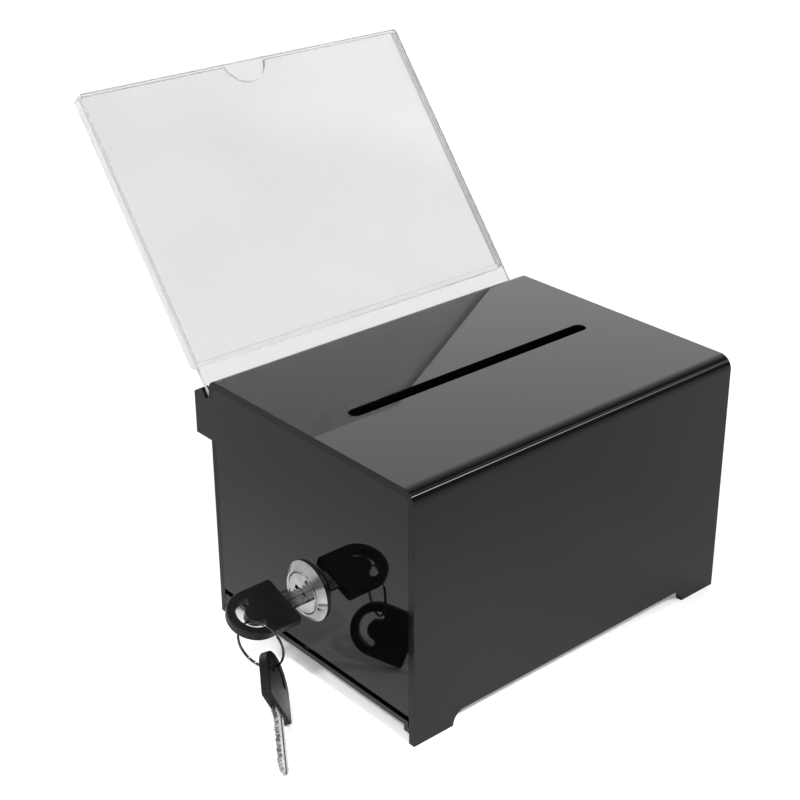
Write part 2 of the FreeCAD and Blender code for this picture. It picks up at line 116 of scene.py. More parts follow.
def pick_edges(piece, wanted):
    """Edit mode on the piece, with only the edges selected whose middle and direction are wanted."""
    open_for_edit(piece, "EDGE")
    for edge in piece.data.edges:
        start, end = (piece.data.vertices[index].co for index in edge.vertices)
        edge.select = wanted((start + end) / 2, (end - start).normalized())
    bpy.ops.object.mode_set(mode="EDIT")


def open_for_edit(piece, kind):
    """Leaves nothing of the piece selected, ready for a new choice of its faces or edges."""
    take_up(piece)
    bpy.ops.object.mode_set(mode="EDIT")
    bpy.ops.mesh.select_mode(type=kind)
    bpy.ops.mesh.select_all(action="DESELECT")
    bpy.ops.object.mode_set(mode="OBJECT")


def round_edges(piece, wanted, radius, steps):
    pick_edges(piece, wanted)
    bpy.ops.mesh.bevel(offset=radius, segments=steps, affect="EDGES", profile=0.5)
    bpy.ops.object.mode_set(mode="OBJECT")


def bend_line(low, high, is_front):
    """Picks the fold along X at the top of a block, the front one or the rear one."""
    def wanted(middle, along):
        at_top = abs(along.x) > straight and middle.z > high.z - cut_past
        at_side = middle.y < low.y + cut_past if is_front else middle.y > high.y - cut_past
        return at_top and at_side

    return wanted


def apply_modifier(piece, modifier):
    take_up(piece)
    bpy.ops.object.modifier_apply(modifier=modifier.name)


def combine(piece, other, operation):
    """Makes one solid of the piece and another shape, which is used up."""
    boolean = piece.modifiers.new("combine", "BOOLEAN")
    boolean.operation = operation
    boolean.solver = "EXACT"
    boolean.object = other
    apply_modifier(piece, boolean)
    bpy.data.objects.remove(other)


def cut_out(piece, cutter):
    combine(piece, cutter, "DIFFERENCE")


def ease_edges(piece, width):
    """Rounds every sharp edge a little, and keeps the flat faces flat to the eye."""
    take_up(piece)
    bpy.ops.object.shade_smooth()
    bevel = piece.modifiers.new("eased edges", "BEVEL")
    bevel.width = width
    bevel.segments = eased_steps
    bevel.limit_method = "ANGLE"
    bevel.angle_limit = sharp_angle
    bevel.miter_outer = "MITER_ARC"
    apply_modifier(piece, bevel)
    normals = piece.modifiers.new("flat faces", "WEIGHTED_NORMAL")
    normals.weight = 100
    apply_modifier(piece, normals)


def new_finish(name):
    """A material, its shader, a function that adds a node with inputs, and one that links two sockets."""
    material = bpy.data.materials.new(name)
    material.use_nodes = True
    tree = material.node_tree
    shader = tree.nodes["Principled BSDF"]

    def add(kind, **inputs):
        node = tree.nodes.new(kind)
        for name, value in inputs.items():
            node.inputs[name].default_value = value
        return node

    return material, shader, add, tree.links.new


def noise(add, link, scale, detail=4.0, stretch=(1, 1, 1)):
    """A noise in the object's own place, stretched along an axis where the finish has a direction."""
    place = add("ShaderNodeTexCoord")
    mapping = add("ShaderNodeMapping", Scale=stretch)
    texture = add("ShaderNodeTexNoise", Scale=scale, Detail=detail)
    link(place.outputs["Object"], mapping.inputs["Vector"])
    link(mapping.outputs["Vector"], texture.inputs["Vector"])
    return texture.outputs["Fac"]


def spread(add, link, source, low, high):
    """Spreads a noise between two values."""
    ranged = add("ShaderNodeMapRange")
    ranged.inputs["From Min"].default_value = noise_low
    ranged.inputs["From Max"].default_value = noise_high
    ranged.inputs["To Min"].default_value = low
    ranged.inputs["To Max"].default_value = high
    link(source, ranged.inputs["Value"])
    return ranged.outputs["Result"]


def shade_between(add, link, source, dark, light):
    """Colour that wanders between two close tones."""
    ramp = add("ShaderNodeValToRGB")
    ramp.color_ramp.elements[0].position = noise_low
    ramp.color_ramp.elements[1].position = noise_high
    ramp.color_ramp.elements[0].color = (*dark, 1)
    ramp.color_ramp.elements[1].color = (*light, 1)
    link(source, ramp.inputs["Fac"])
    return ramp.outputs["Color"]


def grey(level):
    return (level, level, level)


def roughen(add, link, shader, source, strength, distance):
    """Lets a noise stand out from the surface a little."""
    bump = add("ShaderNodeBump", Strength=strength, Distance=distance)
    link(source, bump.inputs["Height"])
    link(bump.outputs["Normal"], shader.inputs["Normal"])


def black_acrylic():
    """Cast sheet: deep black under a polished face, with faint wipe marks and a trace of waviness."""
    material, shader, add, link = new_finish("black acrylic face")
    shader.inputs["IOR"].default_value = acrylic_ior
    shader.inputs["Specular IOR Level"].default_value = 0.18
    clouds = noise(add, link, scale=30)
    wipes = noise(add, link, scale=45, detail=6, stretch=(1, 3, 0.6))
    waves = noise(add, link, scale=18, detail=1)
    tone = shade_between(add, link, clouds, dark=grey(0.0016), light=grey(0.0026))
    link(tone, shader.inputs["Base Color"])
    link(spread(add, link, wipes, low=0.015, high=0.05), shader.inputs["Roughness"])
    roughen(add, link, shader, waves, strength=0.02, distance=0.0004)
    return material


def sawn_acrylic():
    """The sheet's cut edge: the same black with the fine lines that the saw and scraper leave."""
    material, shader, add, link = new_finish("black acrylic cut edge")
    shader.inputs["IOR"].default_value = acrylic_ior
    shader.inputs["Specular IOR Level"].default_value = 0.12
    specks = noise(add, link, scale=200)
    lines = noise(add, link, scale=900, detail=3, stretch=(1, 0.08, 0.08))
    tone = shade_between(add, link, specks, dark=grey(0.002), light=grey(0.004))
    link(tone, shader.inputs["Base Color"])
    link(spread(add, link, lines, low=0.12, high=0.3), shader.inputs["Roughness"])
    roughen(add, link, shader, lines, strength=0.05, distance=0.0001)
    return material


acrylic_face = black_acrylic()
acrylic_cut = sawn_acrylic()


def clad_in_acrylic(piece, is_cut_face):
    """Polished faces in one finish and cut edges in the other."""
    piece.data.materials.clear()
    piece.data.materials.append(acrylic_face)
    piece.data.materials.append(acrylic_cut)
    for face in piece.data.polygons:
        face.material_index = 1 if is_cut_face(face.center, face.normal) else 0


wrap = start_block("bent_sheet", wrap_low, wrap_high)
pick_faces(wrap, lambda centre, normal: abs(normal.x) > straight or normal.z < -straight)
bpy.ops.mesh.delete(type="FACE")
bpy.ops.object.mode_set(mode="OBJECT")
round_edges(wrap, bend_line(wrap_low, wrap_high, True), front_bend, bend_steps)
round_edges(wrap, bend_line(wrap_low, wrap_high, False), rear_bend, bend_steps)
solid = wrap.modifiers.new("sheet", "SOLIDIFY")
solid.thickness = sheet
solid.offset = -1
apply_modifier(wrap, solid)

slot = start_block("slot cutter",
                   Vector((-slot_length / 2, -slot_width / 2, wrap_high.z - sheet - cut_past)),
                   Vector((slot_length / 2, slot_width / 2, wrap_high.z + cut_past)))
round_edges(slot, lambda middle, along: abs(along.z) > straight, slot_round, round_steps)
cut_out(wrap, slot)

relief = start_block("foot relief cutter",
                     Vector((wrap_low.x + foot_width, wrap_low.y - cut_past, -cut_past)),
                     Vector((wrap_high.x - foot_width, wrap_high.y + cut_past, foot_height)))
round_edges(relief, lambda middle, along: abs(along.y) > straight and middle.z > 0, foot_round, round_steps)
cut_out(wrap, relief)

for notch_low, notch_high in ((wrap_low.x - cut_past, wrap_low.x + sheet),
                              (wrap_high.x - sheet, wrap_high.x + cut_past)):
    notch = start_block("ear notch cutter",
                        Vector((notch_low, wrap_high.y - sheet - cut_past, ear_low)),
                        Vector((notch_high, wrap_high.y + cut_past, ear_top)))
    cut_out(wrap, notch)
ease_edges(wrap, sheet_edge)
clad_in_acrylic(wrap, lambda centre, normal: abs(normal.x) > facing or normal.z < -facing
                and centre.z < foot_height + cut_past)
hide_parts("wrap_sheet")
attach(wrap, "case")

# Side sheets: flat black acrylic, glued flush inside the ends of the bent sheet. Each one's rear ear
# comes out through a notch in the back, and has a step in which the sign holder stands.
side_fit = 0.00003
ear_rear = panel_high.y
ear_rear_top = 0.0921
sign_axis = Vector(joints["sign_lift"]["axis"])
sign_lean = math.atan2(sign_axis.y, sign_axis.z)
sign_foot_y = 0.0577
sign_foot_z = 0.0927
sign_sheet = 0.0020
sign_fit = 0.0001
ear_rest = 0.0044
side_bend_steps = 10
hole_steps = 64
cutter_reach = 3
edgewise = 0.3


def along_slope(up, back):
    """A point in the sign holder's end view: so far up its slope and so far behind its front face."""
    return Vector((0, sign_foot_y + up * math.sin(sign_lean) + back * math.cos(sign_lean),
                   sign_foot_z + up * math.cos(sign_lean) - back * math.sin(sign_lean)))


def cut_plane(piece, point, normal):
    """Saws off what lies beyond a plane, on the side that the normal points to."""
    open_for_edit(piece, "FACE")
    bpy.ops.object.mode_set(mode="EDIT")
    bpy.ops.mesh.select_all(action="SELECT")
    bpy.ops.mesh.bisect(plane_co=point, plane_no=normal, use_fill=True, clear_outer=True)
    bpy.ops.object.mode_set(mode="OBJECT")


def drill(piece, place, turn, radius, depth, steps):
    """Cuts a round hole, with its middle at a place."""
    bpy.ops.object.select_all(action="DESELECT")
    bpy.ops.mesh.primitive_cylinder_add(vertices=steps, radius=radius, depth=depth, location=place,
                                        rotation=turn)
    bpy.ops.object.transform_apply(location=True, rotation=True, scale=True)
    cut_out(piece, bpy.context.object)


inner_y = wrap_high.y - sheet
side_low = Vector((panel_low.x, -inner_y, panel_low.z))
side_high = Vector((panel_high.x, inner_y, panel_high.z))
left_side = start_block("left_side_sheet", side_low, side_high)
round_edges(left_side, bend_line(side_low, side_high, True), front_bend - sheet + side_fit, side_bend_steps)
round_edges(left_side, bend_line(side_low, side_high, False), rear_bend - sheet + side_fit, side_bend_steps)

rest_top = along_slope(ear_rest, sign_sheet + sign_fit)
ear = start_block("ear", Vector((panel_low.x, inner_y - sheet, ear_low)),
                  Vector((panel_high.x, ear_rear, rest_top.z)))
slope = Vector((0, ear_rear, ear_rear_top)) - rest_top
cut_plane(ear, rest_top, Vector((0, -slope.z, slope.y)).normalized())
seat_cut = start_block("sign seat cutter", Vector((panel_low.x - cut_past, -ear_rest * cutter_reach, 0)),
                       Vector((panel_high.x + cut_past, sign_sheet + sign_fit, ear_rest * 2)))
seat_cut.data.transform(Matrix.Translation(along_slope(0, 0)) @ Matrix.Rotation(-sign_lean, 4, "X"))
cut_out(ear, seat_cut)
flat_cut = start_block("ear top cutter", Vector((panel_low.x - cut_past, inner_y - sheet * 2, ear_top)),
                       Vector((panel_high.x + cut_past, wrap_high.y, rest_top.z + cut_past)))
cut_out(ear, flat_cut)
combine(left_side, ear, "UNION")

right_side = left_side.copy()
right_side.data = left_side.data.copy()
right_side.name = right_side.data.name = "right_side_sheet"
bpy.context.scene.collection.objects.link(right_side)
right_side.data.transform(Matrix.Translation((wrap_high.x - sheet - panel_low.x, 0, 0)))

lock_axis = Vector(joints["plug_turn"]["pos_m"])
barrel_radius = 0.0090
hole_fit = 0.00015
lock_turn = (0, math.pi / 2, 0)
drill(left_side, lock_axis, lock_turn, barrel_radius + hole_fit, sheet * cutter_reach, hole_steps)

for side, node in ((left_side, "left_side_panel"), (right_side, "right_side_panel")):
    ease_edges(side, sheet_edge)
    clad_in_acrylic(side, lambda centre, normal: abs(normal.x) < edgewise)
    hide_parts(node)
    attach(side, "case")

# Floor and rails: two square strips glued along the walls carry a loose plate of the same sheet,
# which slides out sideways when the lock's cam is clear of its slot.


def dress(finish, *nodes):
    """Gives CAD nodes that are shown as they are their finish."""
    for node in nodes:
        frame["nodes"][node].data.materials.clear()
        frame["nodes"][node].data.materials.append(finish)


dress(acrylic_face, "front_floor_rail", "rear_floor_rail", "floor_plate")

# Sign holder: two clear sheets with a narrow strip between them along the foot and both sides, glued
# to make a pocket that is open above. The longer front sheet stands in the ears.
sign_corner = 0.0012
corner_steps = 5
sign_edge = 0.00018
thumb_radius = 0.0100
thumb_depth = 0.0090
thumb_steps = 72
strip_width = 0.0013
clear_ior = 1.3
cloudiness = 0.01


def clear_acrylic(name, clarity):
    """Polished clear sheet, faintly grey, with hardly visible wipe marks.

    It bends light less than real acrylic, so that its edges stay as faint as in the photograph.
    """
    material, shader, add, link = new_finish(name)
    shader.inputs["IOR"].default_value = clear_ior
    shader.inputs["Transmission Weight"].default_value = 1.0
    clouds = noise(add, link, scale=25)
    wipes = noise(add, link, scale=60, detail=5)
    tone = shade_between(add, link, clouds, dark=grey(clarity - cloudiness),
                         light=grey(clarity + cloudiness))
    link(tone, shader.inputs["Base Color"])
    link(spread(add, link, wipes, low=0.0, high=0.02), shader.inputs["Roughness"])
    return material


def clear_acrylic_cut():
    """The clear sheet's cut edge, scraped but not polished, so that it gathers a soft grey."""
    material, shader, add, link = new_finish("clear acrylic cut edge")
    shader.inputs["IOR"].default_value = clear_ior
    shader.inputs["Transmission Weight"].default_value = 0.7
    specks = noise(add, link, scale=300)
    lines = noise(add, link, scale=700, detail=3, stretch=(0.1, 1, 1))
    tone = shade_between(add, link, specks, dark=grey(0.78), light=grey(0.84))
    link(tone, shader.inputs["Base Color"])
    link(spread(add, link, lines, low=0.3, high=0.42), shader.inputs["Roughness"])
    roughen(add, link, shader, lines, strength=0.03, distance=0.0001)
    return material


front_face = clear_acrylic("clear acrylic front", clarity=0.76)
rear_face = clear_acrylic("clear acrylic rear", clarity=0.98)
clear_cut = clear_acrylic_cut()
sign_normal = Vector((0, math.cos(sign_lean), -math.sin(sign_lean)))


def start_leaning_block(name, node):
    """A flat block on the sign holder's slope that fills the node's box."""
    low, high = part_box(node)
    span = high - low
    fold = math.cos(sign_lean) ** 2 - math.sin(sign_lean) ** 2
    height = (span.z * math.cos(sign_lean) - span.y * math.sin(sign_lean)) / fold
    thick = (span.y * math.cos(sign_lean) - span.z * math.sin(sign_lean)) / fold
    bpy.ops.object.select_all(action="DESELECT")
    bpy.ops.mesh.primitive_cube_add(size=1, location=(low + high) / 2, rotation=(-sign_lean, 0, 0),
                                    scale=(span.x, thick, height))
    bpy.ops.object.transform_apply(location=True, rotation=True, scale=True)
    piece = bpy.context.object
    piece.name = piece.data.name = name
    return piece


sign_front = start_leaning_block("sign_front_clear", "sign_front_sheet")
sign_rear = start_leaning_block("sign_rear_clear", "sign_rear_sheet")
sign_strip = start_leaning_block("sign_strip_clear", "sign_spacer_strip")
for plate in (sign_front, sign_rear):
    round_edges(plate, lambda middle, along: abs(along.dot(sign_normal)) > straight,
                sign_corner, corner_steps)

rear_top = Vector((0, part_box("sign_rear_sheet")[1].y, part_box("sign_rear_sheet")[1].z))
strip_low, strip_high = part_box("sign_spacer_strip")
strip_top = Vector((0, strip_high.y, strip_high.z))
strip_rise = (rear_top - strip_top).dot(sign_axis) - sign_corner
strip_inner = strip_high.x - strip_width
for inner_x in (strip_low.x + strip_width, strip_inner):
    open_for_edit(sign_strip, "FACE")
    bpy.ops.object.mode_set(mode="EDIT")
    bpy.ops.mesh.select_all(action="SELECT")
    bpy.ops.mesh.bisect(plane_co=(inner_x, 0, 0), plane_no=(1, 0, 0))
    bpy.ops.object.mode_set(mode="OBJECT")
for end in (-1, 1):
    pick_faces(sign_strip, lambda centre, normal: normal.dot(sign_axis) > straight
               and centre.x * end > strip_inner)
    bpy.ops.mesh.extrude_region_move(TRANSFORM_OT_translate={"value": sign_axis * strip_rise})
    bpy.ops.object.mode_set(mode="OBJECT")

drill(sign_rear, rear_top + sign_axis * (thumb_radius - thumb_depth), (math.pi / 2 - sign_lean, 0, 0),
      thumb_radius, sign_sheet * cutter_reach * 2, thumb_steps)

for plate, node in ((sign_front, "sign_front_sheet"), (sign_rear, "sign_rear_sheet"),
                    (sign_strip, "sign_spacer_strip")):
    ease_edges(plate, sign_edge)
    plate.data.materials.clear()
    plate.data.materials.append(front_face if plate == sign_front else rear_face)
    plate.data.materials.append(clear_cut)
    for face in plate.data.polygons:
        face.material_index = 0 if abs(face.normal.dot(sign_normal)) > facing else 1
    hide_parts(node)
    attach(plate, "sign_holder")

# Cam lock: a die-cast housing and plug in bright chrome, pushed through the left side and held from
# inside by a washer and a hexagon nut. The flat steel cam is screwed on the plug's square end.


def chrome():
    """Bright chrome over a die casting, with a slight ripple and fine wear."""
    material, shader, add, link = new_finish("bright chrome")
    shader.inputs["Metallic"].default_value = 1.0
    clouds = noise(add, link, scale=180)
    wear = noise(add, link, scale=500, detail=6)
    ripple = noise(add, link, scale=350, detail=3)
    tone = shade_between(add, link, clouds, dark=(0.25, 0.25, 0.257), light=(0.38, 0.38, 0.387))
    link(tone, shader.inputs["Base Color"])
    link(spread(add, link, wear, low=0.04, high=0.12), shader.inputs["Roughness"])
    roughen(add, link, shader, ripple, strength=0.06, distance=0.0002)
    return material


def plated_steel():
    """Zinc-plated steel with the fine lines of stamping and rolling."""
    material, shader, add, link = new_finish("plated steel")
    shader.inputs["Metallic"].default_value = 1.0
    clouds = noise(add, link, scale=260)
    lines = noise(add, link, scale=1400, detail=3, stretch=(1, 0.08, 1))
    tone = shade_between(add, link, clouds, dark=(0.46, 0.46, 0.47), light=(0.60, 0.60, 0.61))
    link(tone, shader.inputs["Base Color"])
    link(spread(add, link, lines, low=0.2, high=0.38), shader.inputs["Roughness"])
    roughen(add, link, shader, lines, strength=0.08, distance=0.0001)
    return material


def stamped_brass():
    """Brass wafers, dull from the tumbling drum."""
    material, shader, add, link = new_finish("stamped brass")
    shader.inputs["Metallic"].default_value = 1.0
    clouds = noise(add, link, scale=400)
    dullness = noise(add, link, scale=900)
    tone = shade_between(add, link, clouds, dark=(0.55, 0.38, 0.14), light=(0.68, 0.50, 0.22))
    link(tone, shader.inputs["Base Color"])
    link(spread(add, link, dullness, low=0.25, high=0.45), shader.inputs["Roughness"])
    return material


chrome_finish = chrome()
steel_finish = plated_steel()
lock_face_x = lock_axis.x
housing_low, housing_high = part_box("lock_housing")
plug_low, plug_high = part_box("lock_plug")
bezel_radius = (housing_high.y - housing_low.y) / 2
bezel_top_radius = 0.0090
bezel_rim = 0.0008
barrel_flats = 0.0158
thread_pitch = 0.0010
thread_depth = 0.00035
plug_head_radius = (plug_high.y - plug_low.y) / 2
plug_head_height = 0.0022
plug_radius = 0.0060
plug_fit = 0.00006
lock_edge = 0.00012
plug_groove = 0.0004
turned_steps = 96
weld = 0.000002
key_turn = math.radians(19.9)


def turn_on_lathe(name, outline):
    """A closed outline of distances along the lock's axis and radii, turned once about that axis."""
    bpy.ops.object.select_all(action="DESELECT")
    bpy.ops.mesh.primitive_plane_add(size=1, location=(0, 0, 0))
    piece = bpy.context.object
    piece.name = piece.data.name = name
    bpy.ops.object.mode_set(mode="EDIT")
    bpy.ops.mesh.select_mode(type="VERT")
    bpy.ops.mesh.select_all(action="SELECT")
    bpy.ops.mesh.merge(type="CENTER")
    start = Vector((outline[0][0], lock_axis.y, outline[0][1] + lock_axis.z))
    bpy.ops.transform.translate(value=start)
    for (here_x, here_r), (next_x, next_r) in zip(outline, outline[1:]):
        step = (next_x - here_x, 0, next_r - here_r)
        bpy.ops.mesh.extrude_region_move(TRANSFORM_OT_translate={"value": step})
    bpy.ops.mesh.select_all(action="SELECT")
    bpy.ops.mesh.spin(steps=turned_steps, angle=2 * math.pi, center=(0, lock_axis.y, lock_axis.z),
                      axis=(1, 0, 0))
    bpy.ops.mesh.select_all(action="SELECT")
    bpy.ops.mesh.remove_doubles(threshold=weld)
    bpy.ops.mesh.normals_make_consistent(inside=False)
    bpy.ops.object.mode_set(mode="OBJECT")
    return piece


face_x = housing_low.x
head_x = face_x + plug_head_height + plug_fit
bore = plug_radius + plug_fit
head_bore = plug_head_radius + plug_fit
thread_start = lock_face_x + sheet
housing_outline = [(housing_high.x, bore), (head_x, bore), (head_x, head_bore),
                   (face_x + plug_groove, head_bore), (face_x, head_bore + plug_groove),
                   (face_x, bezel_top_radius), (lock_face_x - bezel_rim, bezel_radius),
                   (lock_face_x, bezel_radius), (lock_face_x, barrel_radius), (thread_start, barrel_radius)]
for turn in range(int((housing_high.x - thread_start) / thread_pitch)):
    groove_x = thread_start + thread_pitch * turn
    housing_outline += [(groove_x + thread_pitch / 2, barrel_radius - thread_depth),
                        (groove_x + thread_pitch, barrel_radius)]
housing_outline += [(housing_high.x, barrel_radius), (housing_high.x, bore)]
housing = turn_on_lathe("lock_housing_turned", housing_outline)
for flat_low, flat_high in ((-bezel_radius, -barrel_flats / 2), (barrel_flats / 2, bezel_radius)):
    flat = start_block("barrel flat cutter", Vector((lock_face_x, -bezel_radius, flat_low)),
                       Vector((housing_high.x + cut_past, bezel_radius, flat_high)))
    flat.data.transform(Matrix.Translation((0, lock_axis.y, lock_axis.z)))
    cut_out(housing, flat)
ease_edges(housing, lock_edge)
housing.data.materials.append(chrome_finish)
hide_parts("lock_housing")
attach(housing, "case")

keyway_half = 0.0042
keyway_thick = 0.0020
keyway_spare = 0.0004
keyway_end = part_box("key_blade")[1].x + keyway_spare
drive_side = 0.0064
barrel_end = housing_high.x
screw_hole_radius = 0.0026
screw_hole_depth = 0.0061
screw_hole_steps = 48
wafer_count = 6
wafer_pitch = 0.0020
wafer_thick = 0.0009
wafer_slot = 0.0012
wafer_slot_half = 0.00285
first_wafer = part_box("wafer_tumblers")[0].x + wafer_thick / 2
pocket_half = 0.000675
pocket_half_wide = 0.00265
pocket_overlap = 0.00015
pocket_top = 0.0042
plug_outline = [(face_x, 0), (face_x, plug_head_radius - plug_groove),
                (face_x + plug_groove, plug_head_radius), (face_x + plug_head_height, plug_head_radius),
                (face_x + plug_head_height, plug_radius), (barrel_end, plug_radius), (barrel_end, 0)]
plug = turn_on_lathe("lock_plug_turned", plug_outline)


def lock_block(x_low, x_high, half_y, z_low, z_high):
    """A block at the key's angle, from its reach along the lock's axis, half its width and its height."""
    block = start_block("lock block", Vector((x_low - lock_face_x, -half_y, z_low)),
                        Vector((x_high - lock_face_x, half_y, z_high)))
    block.data.transform(Matrix.Translation(lock_axis) @ Matrix.Rotation(key_turn, 4, "X"))
    return block


drive = lock_block(barrel_end - cut_past, plug_high.x, drive_side / 2, -drive_side / 2, drive_side / 2)
combine(plug, drive, "UNION")
cut_out(plug, lock_block(face_x - cut_past, keyway_end, keyway_half, -keyway_thick / 2, keyway_thick / 2))
for index in range(wafer_count):
    middle = first_wafer + wafer_pitch * index
    cut_out(plug, lock_block(middle - wafer_slot / 2, middle + wafer_slot / 2, plug_radius + cut_past,
                             -wafer_slot_half, wafer_slot_half))
    cut_out(plug, lock_block(middle - pocket_half, middle + pocket_half, pocket_half_wide,
                             wafer_slot_half - pocket_overlap, pocket_top))
drill(plug, (plug_high.x, lock_axis.y, lock_axis.z), lock_turn, screw_hole_radius, screw_hole_depth * 2,
      screw_hole_steps)
ease_edges(plug, lock_edge)
plug.data.materials.append(chrome_finish)
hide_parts("lock_plug")
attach(plug, "plug")
dress(steel_finish, "lock_washer", "lock_nut", "wafer_springs", "cam_stop_washer", "lock_cam",
      "cam_washer", "cam_screw")
dress(stamped_brass(), "wafer_tumblers")

# Keys: nickel-plated blades with milled cuts, each moulded into a black plastic bow that has a
# crescent hole for the ring. One is in the lock and the other leans on the table.


def nickel():
    """Nickel plate over milled brass, brushed along the blade."""
    material, shader, add, link = new_finish("nickel plate")
    shader.inputs["Metallic"].default_value = 1.0
    clouds = noise(add, link, scale=300)
    lines = noise(add, link, scale=1600, detail=3, stretch=(0.1, 1, 1))
    tone = shade_between(add, link, clouds, dark=(0.26, 0.255, 0.245), light=(0.42, 0.41, 0.40))
    link(tone, shader.inputs["Base Color"])
    link(spread(add, link, lines, low=0.16, high=0.32), shader.inputs["Roughness"])
    roughen(add, link, shader, lines, strength=0.1, distance=0.0001)
    return material


def moulded_plastic():
    """Black moulded plastic with a fine spark-eroded grain, rubbed smoother in places."""
    material, shader, add, link = new_finish("black moulded plastic")
    shader.inputs["IOR"].default_value = 1.46
    shader.inputs["Specular IOR Level"].default_value = 0.2
    clouds = noise(add, link, scale=120)
    rubs = noise(add, link, scale=220, detail=5)
    grain = noise(add, link, scale=2600, detail=2)
    tone = shade_between(add, link, clouds, dark=grey(0.003), light=grey(0.006))
    link(tone, shader.inputs["Base Color"])
    link(spread(add, link, rubs, low=0.34, high=0.52), shader.inputs["Roughness"])
    roughen(add, link, shader, grain, strength=0.25, distance=0.0001)
    return material


dress(nickel(), "key_blade", "spare_key_blade")
dress(moulded_plastic(), "key_bow", "spare_key_bow")

# Key ring: a split ring, one springy wire of nearly two turns with a step between them, threaded
# through both bows. Its place follows from the spare key's hinge on the wire.
ring_radius = 0.0094
ring_wire = 0.00046
ring_step = 0.00047
ring_flat = 1.7
ring_yaw = math.radians(20.8)
ring_pitch = math.radians(3.1)
ring_cross = math.radians(300)
ring_cross_sweep = math.radians(40)
ring_points = 240
ring_wire_steps = 5
ring_axis = Vector((math.cos(ring_yaw) * math.cos(ring_pitch), math.sin(ring_yaw) * math.cos(ring_pitch),
                    math.sin(ring_pitch)))
ring_along = Vector((math.sin(ring_yaw), -math.cos(ring_yaw), 0))
ring_across = ring_axis.cross(ring_along)
swing = joints["spare_swing"]
spoke = Vector(swing["axis"]).cross(ring_axis).normalized()
ring_centre = Vector(swing["pos_m"]) - spoke * ring_radius


def ring_point(share):
    """A point of the wire's middle line, from one end of the wire at 0 to the other at 1."""
    sweep = 4 * math.pi - ring_cross_sweep
    angle = ring_cross + ring_cross_sweep / 2 + sweep * share
    passed = sweep * share - (2 * math.pi - ring_cross_sweep)
    step = min(1, max(0, passed / ring_cross_sweep))
    aside = ring_step * (step * step * (3 - 2 * step) - 0.5)
    return (ring_centre + ring_along * (ring_radius * math.cos(angle))
            + ring_across * (ring_radius * math.sin(angle)) + ring_axis * aside)


line = bpy.data.curves.new("key_ring_wire", "CURVE")
line.dimensions = "3D"
line.bevel_depth = ring_wire / 2
line.bevel_resolution = ring_wire_steps
line.use_fill_caps = True
spline = line.splines.new("POLY")
spline.points.add(ring_points - 1)
for index, point in enumerate(spline.points):
    point.co = (*ring_point(index / (ring_points - 1)), 1)
ring = bpy.data.objects.new("key_ring_wire", line)
bpy.context.scene.collection.objects.link(ring)
take_up(ring)
bpy.ops.object.convert(target="MESH")
ring = bpy.context.object
bpy.ops.object.mode_set(mode="EDIT")
bpy.ops.mesh.select_mode(type="VERT")
bpy.ops.mesh.select_all(action="SELECT")
bpy.ops.mesh.remove_doubles(threshold=weld)
bpy.ops.mesh.normals_make_consistent(inside=False)
bpy.ops.object.mode_set(mode="OBJECT")
for vertex in ring.data.vertices:
    outward = vertex.co - ring_centre
    outward -= ring_axis * outward.dot(ring_axis)
    vertex.co += outward.normalized() * (outward.length - ring_radius) * (ring_flat - 1)
bpy.ops.object.shade_smooth_by_angle(angle=sharp_angle)


def spring_wire():
    """Drawn wire with brighter rub marks, its tone painted near black to stand in for the dark reflections
    it shows.
    """
    material, shader, add, link = new_finish("spring wire painted dark")
    shader.inputs["Metallic"].default_value = 1.0
    clouds = noise(add, link, scale=400)
    rubs = noise(add, link, scale=900)
    # The near-black tone is painted shade: it stands in for the dark reflections of the box and room on the
    # wire.
    tone = shade_between(add, link, clouds, dark=(0.03, 0.03, 0.032), light=(0.11, 0.11, 0.114))
    link(tone, shader.inputs["Base Color"])
    link(spread(add, link, rubs, low=0.1, high=0.22), shader.inputs["Roughness"])
    return material


ring.data.materials.append(spring_wire())
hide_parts("key_ring")
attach(ring, "ring")

# Studio: a pale floor that glows a little, a white backdrop behind and at the sides with a brighter
# zone in it, the dark of the room in front, and a soft box for the streak of light in the sign.
# A soft lamp lights the whole, two spots light the box's foot, and a strip lamp the front bend.
floor_reach = 1.8
floor_glow = 0.22
backdrop_light = 1.1
backdrop_glow = 1.1
glow_toward = Vector((0.58, 0.70, 0.42)).normalized()
glow_edge = math.cos(math.radians(45))
glow_core = math.cos(math.radians(12))
room_dark = 0.3
soft_box_light = 1.9
spot_cone = math.radians(12)
spot_softness = 0.08
strip_far_end = 0.05
strip_falloff = 1.8


def pale_floor():
    """White card with faint clouds, so bright that it runs into the backdrop."""
    material, shader, add, link = new_finish("pale floor")
    clouds = noise(add, link, scale=3)
    tone = shade_between(add, link, clouds, dark=grey(0.90), light=grey(0.92))
    link(tone, shader.inputs["Base Color"])
    shader.inputs["Roughness"].default_value = 0.9
    shader.inputs["Specular IOR Level"].default_value = 0.0
    shader.inputs["Emission Color"].default_value = (1, 1, 1, 1)
    shader.inputs["Emission Strength"].default_value = floor_glow
    return material


bpy.ops.object.select_all(action="DESELECT")
bpy.ops.mesh.primitive_plane_add(size=floor_reach, location=(0, 0, cad_low.z))
studio_floor = bpy.context.object
studio_floor.name = "studio_floor"
studio_floor.data.materials.append(pale_floor())

world = bpy.data.worlds.new("backdrop and room")
world.use_nodes = True
world_tree = world.node_tree
direction = world_tree.nodes.new("ShaderNodeTexCoord")
parts = world_tree.nodes.new("ShaderNodeSeparateXYZ")
world_tree.links.new(direction.outputs["Generated"], parts.inputs["Vector"])


def world_step(source, start, end, low=0, high=1):
    """A soft step of brightness, between two values of a direction's part."""
    step = world_tree.nodes.new("ShaderNodeMapRange")
    step.interpolation_type = "SMOOTHSTEP"
    for name, value in (("From Min", start), ("From Max", end), ("To Min", low), ("To Max", high)):
        step.inputs[name].default_value = value
    world_tree.links.new(source, step.inputs["Value"])
    return step.outputs["Result"]


